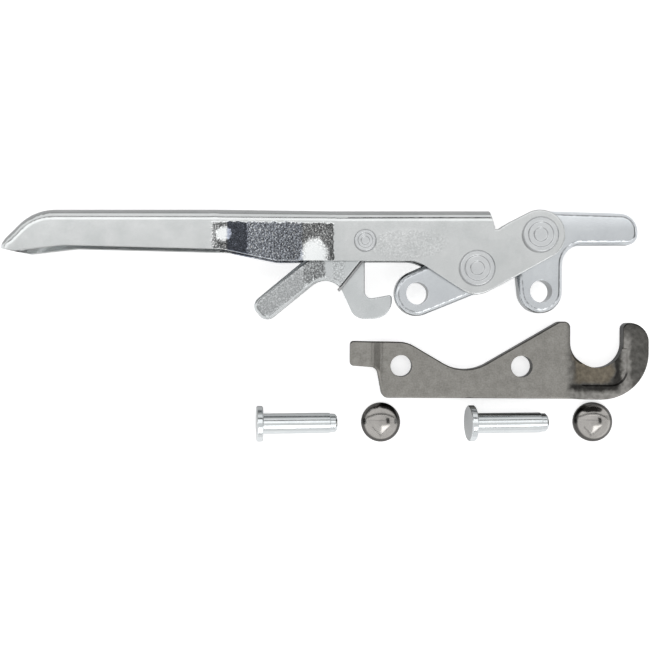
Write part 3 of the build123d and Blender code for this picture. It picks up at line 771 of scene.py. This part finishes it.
@dataclass(frozen=True)
class Studio:
    """Floor, light and camera. Leans are in degrees from straight up: to the right, and to the back."""

    camera_x_mm: float = -87.9
    camera_y_mm: float = -13.7
    camera_height_mm: float = 410.0
    focus_z_mm: float = 4.0
    view_width_mm: float = 264.55
    sensor_mm: float = 36.0
    clip_start_m: float = 0.01
    floor_size_mm: float = 3000.0
    floor_colour: str = "#eeeeee"
    floor_lift: float = 0.62
    mirrored_lift: float = 0.22
    # Level of the dome by lean, from the front to the back.
    back_to_front: Stops = (
        (-90, 0.80), (-60, 0.85), (-30, 0.80), (-12, 0.76), (8, 0.74), (10, 1.25),
        (33, 1.25), (36, 0.06), (42, 0.06), (46, 0.85), (75, 0.85), (90, 0.80),
    )
    # The same from left to right, as a share.
    side_to_side: Stops = (
        (-90, 1.0), (-21, 1.04), (-9, 1.04), (1, 0.97), (25, 0.96), (50, 1.0), (90, 1.0),
    )
    gap_x: Span = (29.0, 47.0)
    gap_y: Span = (-10.0, 22.0)
    gap_level: float = 0.05
    window_x: Span = (6.0, 56.0)
    window_y: Span = (-64.0, -20.0)
    window_level: float = 2.2
    # The dome's front corner: two dark seams that meet below the window.
    corner_y: float = -74.0
    corner_reach: float = 42.0
    seam_half: float = 3.5
    seam_level: float = 0.06
    soft_degrees: float = 2.16

    def camera(self) -> None:
        data = bpy.data.cameras.new("camera")
        data.sensor_width = self.sensor_mm
        data.lens = self.sensor_mm * (self.camera_height_mm - self.focus_z_mm) / self.view_width_mm
        data.clip_start = self.clip_start_m
        camera = bpy.data.objects.new("camera", data)
        camera.location = (self.camera_x_mm * MM, self.camera_y_mm * MM, self.camera_height_mm * MM)
        bpy.context.scene.collection.objects.link(camera)
        bpy.context.scene.camera = camera

    def floor(self, height: float) -> None:
        """Lay the pale floor.

        Args:
            height: the floor's level in metres.
        """
        half = self.floor_size_mm * MM / 2
        mesh = bpy.data.meshes.new("floor")
        corners = [(-half, -half, height), (half, -half, height), (half, half, height), (-half, half, height)]
        mesh.from_pydata(corners, [], [(0, 1, 2, 3)])
        # Matt painted board: white to the camera, and dimmer in the metal's mirror, so that edges stand out.
        material = bpy.data.materials.new("pale_floor")
        material.use_nodes = True
        tree = material.node_tree
        tree.nodes.clear()
        diffuse = add_node(tree, "ShaderNodeBsdfDiffuse", {"Color": linear(self.floor_colour)})
        ray = add_node(tree, "ShaderNodeLightPath").outputs
        mirrored = add_node(
            tree, MATH, {0: ray["Is Glossy Ray"], 1: ray["Is Transmission Ray"]}, operation="MAXIMUM",
        )
        mirrored = add_node(tree, MATH, {0: mirrored, 1: self.mirrored_lift}, operation="MULTIPLY")
        seen = add_node(tree, MATH, {0: ray["Is Camera Ray"], 1: self.floor_lift}, operation="MULTIPLY")
        strength = add_node(tree, MATH, {0: seen, 1: mirrored}, operation="MAXIMUM")
        lift = add_node(tree, "ShaderNodeEmission", {"Strength": strength})
        both = add_node(tree, "ShaderNodeAddShader", {0: diffuse, 1: lift})
        add_node(tree, "ShaderNodeOutputMaterial", {"Surface": both})
        mesh.materials.append(material)
        floor = bpy.data.objects.new("floor", mesh)
        bpy.context.scene.collection.objects.link(floor)
        floor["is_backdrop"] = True

    def lean(self, tree: bpy.types.NodeTree, side: Feed, up: Feed) -> bpy.types.Node:
        """Lean of a direction in degrees from straight up.

        Args:
            tree: the world's tree.
            side: the direction's part to one side.
            up: its upward part.

        Returns:
            The lean, from -90 to 90.
        """
        angle = add_node(tree, MATH, {0: side, 1: up}, operation="ARCTAN2")
        half_turn = math.pi / 2
        return add_node(
            tree, MAP_RANGE,
            {"Value": angle, "From Min": -half_turn, "From Max": half_turn, "To Min": -90.0, "To Max": 90.0},
        )

    def levels(self, tree: bpy.types.NodeTree, lean: Feed, stops: Stops) -> bpy.types.Node:
        """Grey levels of the dome by lean.

        Args:
            tree: the world's tree.
            lean: the lean in degrees.
            stops: lean and level of each stop.

        Returns:
            The level.
        """
        share = add_node(tree, MAP_RANGE, {"Value": lean, "From Min": -90.0, "From Max": 90.0})
        return add_node(
            tree, RAMP, {0: share}, tuple((0.5 + degrees / 180, level) for degrees, level in stops),
        )

    def panel(
        self,
        tree: bpy.types.NodeTree,
        dome: Feed,
        leans: tuple[Feed, Feed],
        spans: tuple[Span, Span],
        level: float,
    ) -> bpy.types.Node:
        """Hang a four-sided panel in the dome.

        Args:
            tree: the world's tree.
            dome: the dome's colour so far.
            leans: lean to the side and to the back.
            spans: the panel's limits to the side and to the back.
            level: its grey level.

        Returns:
            The dome's colour with the panel.
        """
        wide, tall = (between(tree, lean, *span, self.soft_degrees) for lean, span in zip(leans, spans))
        mask = add_node(tree, MATH, {0: wide, 1: tall}, operation="MULTIPLY")
        return add_node(tree, MIX, {0: mask, 6: dome, 7: (level, level, level, 1)}, data_type="RGBA")

    def corner(
        self, tree: bpy.types.NodeTree, dome: Feed, lit: Feed, leans: tuple[Feed, Feed],
    ) -> bpy.types.Node:
        """Cut the window along the dome's front corner, and draw the corner's seams.

        Args:
            tree: the world's tree.
            dome: the dome's colour without the window.
            lit: the dome's colour with the window.
            leans: lean to the side and to the back.

        Returns:
            The dome's colour with the corner.
        """
        half, soft, grey = self.seam_half, self.soft_degrees, self.seam_level
        off = add_node(tree, MATH, {0: leans[0]}, operation="ABSOLUTE")
        raised = add_node(tree, MATH, {0: leans[1], 1: self.corner_y}, operation="SUBTRACT")
        above = add_node(tree, MATH, {0: raised, 1: off}, operation="SUBTRACT")
        inside = between(tree, above, half, None, soft)
        cut = add_node(tree, MIX, {0: inside, 6: dome, 7: lit}, data_type="RGBA")
        line = between(tree, above, -half, half, soft)
        near = between(tree, off, None, self.corner_reach, soft)
        seam = add_node(tree, MATH, {0: line, 1: near}, operation="MULTIPLY")
        return add_node(tree, MIX, {0: seam, 6: cut, 7: (grey, grey, grey, 1)}, data_type="RGBA")

    def light(self) -> None:
        world = bpy.data.worlds.new("studio")
        bpy.context.scene.world = world
        world.use_nodes = True
        tree = world.node_tree
        tree.nodes.clear()
        place = add_node(tree, "ShaderNodeTexCoord").outputs["Generated"]
        axes = add_node(tree, "ShaderNodeSeparateXYZ", {0: place}).outputs
        leans = self.lean(tree, axes["X"], axes["Z"]), self.lean(tree, axes["Y"], axes["Z"])
        boxes = self.levels(tree, leans[1], self.back_to_front)
        sides = self.levels(tree, leans[0], self.side_to_side)
        dome = add_node(tree, MIX, {0: 1.0, 6: boxes, 7: sides}, data_type="RGBA", blend_type="MULTIPLY")
        lit = self.panel(tree, dome, leans, (self.window_x, self.window_y), self.window_level)
        lit = self.corner(tree, dome, lit, leans)
        lit = self.panel(tree, lit, leans, (self.gap_x, self.gap_y), self.gap_level)
        back = add_node(tree, "ShaderNodeBackground", {"Color": lit, "Strength": 1.0})
        add_node(tree, "ShaderNodeOutputWorld", {"Surface": back})


@dataclass(frozen=True)
class LatchKit:
    """All pieces of the latch and their finishes."""

    pieces: tuple[Piece, ...] = (
        Piece("lever_handle", "lever", Slot.SHEET, level=True),
        Piece("toggle_rivet", "lever", Slot.RIVET),
        Piece("arm_rivet", "lever", Slot.RIVET),
        Piece("catch_rivet", "lever", Slot.RIVET),
        Piece("toggle_link", "toggle", Slot.FORGING),
        Piece("clamp_arm", "arm", Slot.FORGING),
        Piece("safety_catch", "catch", Slot.SHEET, level=True),
        Piece("catch_spring", "catch", Slot.WIRE),
        Piece("hook_plate", "lever", Slot.PLATE, level=True),
        Piece("clevis_pin_1", "lever", Slot.PIN),
        Piece("clevis_pin_2", "lever", Slot.PIN),
        Piece("push_cap_1", "lever", Slot.CAP),
        Piece("push_cap_2", "lever", Slot.CAP),
        Piece("cap_washer_1", "lever", Slot.WIRE),
        Piece("cap_washer_2", "lever", Slot.WIRE),
    )
    # Where the press has drawn the lever at its waist, the sheet leans away from the light. In order:
    # the whole patch, its dark bluish band, its middle, the hot spot at its left end, the speckled
    # cheek, and the glow at the patch's right end. The band's dark blue, and the faint one of the
    # middle, are painted shade and painted reflection; the other zones only lean, roughen and speckle.
    waist: tuple[PressedZone, ...] = (
        PressedZone(-133.0, -84.3, 0.0, 27.4, lean_x=0.26),
        PressedZone(
            -127.0, -118.6, 0.0, 27.4, lean_x=0.27, shade=0.66, coarse=0.6, sparkle=0.7, tint="#e6ecff",
        ),
        PressedZone(-118.6, -97.0, 0.0, 27.4, lean_x=0.20, shade=0.97, tint="#f0f4ff"),
        PressedZone(
            -131.0, -125.8, 20.4, 25.2, lean_x=-0.04, lean_y=0.12, coarse=0.1, sparkle=0.0,
            fade_mm=3.0, round_patch=True,
        ),
        PressedZone(-71.0, -38.0, 13.0, 25.0, coarse=0.25, sparkle=0.16, fade_mm=5.0, round_patch=True),
        PressedZone(
            -97.0, -87.4, 8.0, 21.0, lean_x=-0.06, lean_y=0.12, coarse=0.1, sparkle=0.0,
            fade_mm=5.0, round_patch=True,
        ),
    )
    # The catch's finger, its dark root, and the milder patch beyond the root. Their darkness is
    # painted shade, and at the root a painted shadow of the lever's cheek.
    finger: tuple[PressedZone, ...] = (
        PressedZone(-125.0, -96.2, -20.0, 14.0, lean_x=0.14, shade=0.74, coarse=0.4, sparkle=0.42),
        PressedZone(-96.6, -88.0, 3.0, 14.0, lean_x=0.22, shade=0.62),
        PressedZone(-85.0, -80.0, 3.0, 14.0, lean_x=0.08, shade=0.95, coarse=0.5, sparkle=0.4),
    )

    def finishes(self) -> dict[str, bpy.types.Material]:
        """Make the metal of each piece.

        Returns:
            Material by node.
        """
        by_slot = {
            # Zinc plate on a thick pressed link is a little bluer than on sheet, with a broken line of painted
            # shade along its rolled rim.
            Slot.FORGING: MetalFinish("zinc_plated_link", "#e2e6e9", "#d6dade", 0.19, roll_shade=0.55),
            # A pressed rivet head is as pale as the sheet, and the steps that the die leaves get painted shade.
            Slot.RIVET: MetalFinish(
                "zinc_plated_rivet", "#e4e6e7", "#d6d9db", 0.20,
                wave_mm=2.4, wave_height_mm=0.012, slope_shade=0.62,
            ),
            # Bright zinc on a turned pin, with painted shade on its back flank.
            Slot.PIN: MetalFinish(
                "bright_zinc_pin", "#edf0f1", "#dfe4e6", 0.13,
                wave_mm=4.0, wave_height_mm=0.012, fold_shade=0.55,
            ),
            # Bare spring steel is a darker grey with soft streaks of light along the wire.
            Slot.WIRE: MetalFinish("spring_steel_wire", "#b8b8b8", "#8c8c8c", 0.25),
            # Hot rolled plate after pickling is a warm mid grey with mottled scale.
            Slot.PLATE: FormedPlate(
                "pickled_steel_plate", "#a5a39e", "#878580", 0.36,
                cloud_mm=3.0, grain_mm=0.7, grain_height_mm=0.012, grain_share=0.54,
            ),
            # Polished pressed steel mirrors the studio in a warm grey.
            Slot.CAP: DomedCap(
                "polished_steel_cap", "#c4c1bd", "#b0ada9", 0.17, wave_mm=5.0, wave_height_mm=0.05,
            ),
        }
        # Zinc plate on folded sheet is a pale, slightly cloudy grey.
        by_node = {
            # The lever gets painted shade on its web and folds, and in its waist zones.
            "lever_handle": MetalFinish(
                "zinc_plated_lever_sheet", "#e6e8e8", "#d9dcdc", 0.17, zones=self.waist, fold_shade=0.44,
            ),
            # The catch gets painted shade on its finger and along its rolled rim.
            "safety_catch": MetalFinish(
                "zinc_plated_catch_sheet", "#e4e7e8", "#d6dadb", 0.19,
                zones=self.finger, edge_mm=0.9, roll_shade=0.6,
            ),
        }
        shared = {slot: finish.build() for slot, finish in by_slot.items()}
        own = {node: finish.build() for node, finish in by_node.items()}
        return {piece.node: own.get(piece.node) or shared[piece.slot] for piece in self.pieces}

    def build(self, nodes: dict[str, bpy.types.Object]) -> None:
        """Dress every CAD node.

        Args:
            nodes: the frame's nodes by name.
        """
        finishes = self.finishes()
        for piece in self.pieces:
            piece.dress(nodes[piece.node], finishes[piece.node])


def main() -> None:
    """Build the scene."""
    logging.basicConfig(level=logging.INFO, format="%(message)s")
    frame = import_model()
    low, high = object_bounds()
    bpy.context.scene.view_settings.view_transform = "Standard"
    LatchKit().build(frame["nodes"])
    FoldScore().build()
    studio = Studio()
    studio.floor(low[2])
    studio.light()
    studio.camera()
    low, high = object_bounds()


if __name__ == "__main__":
    main()
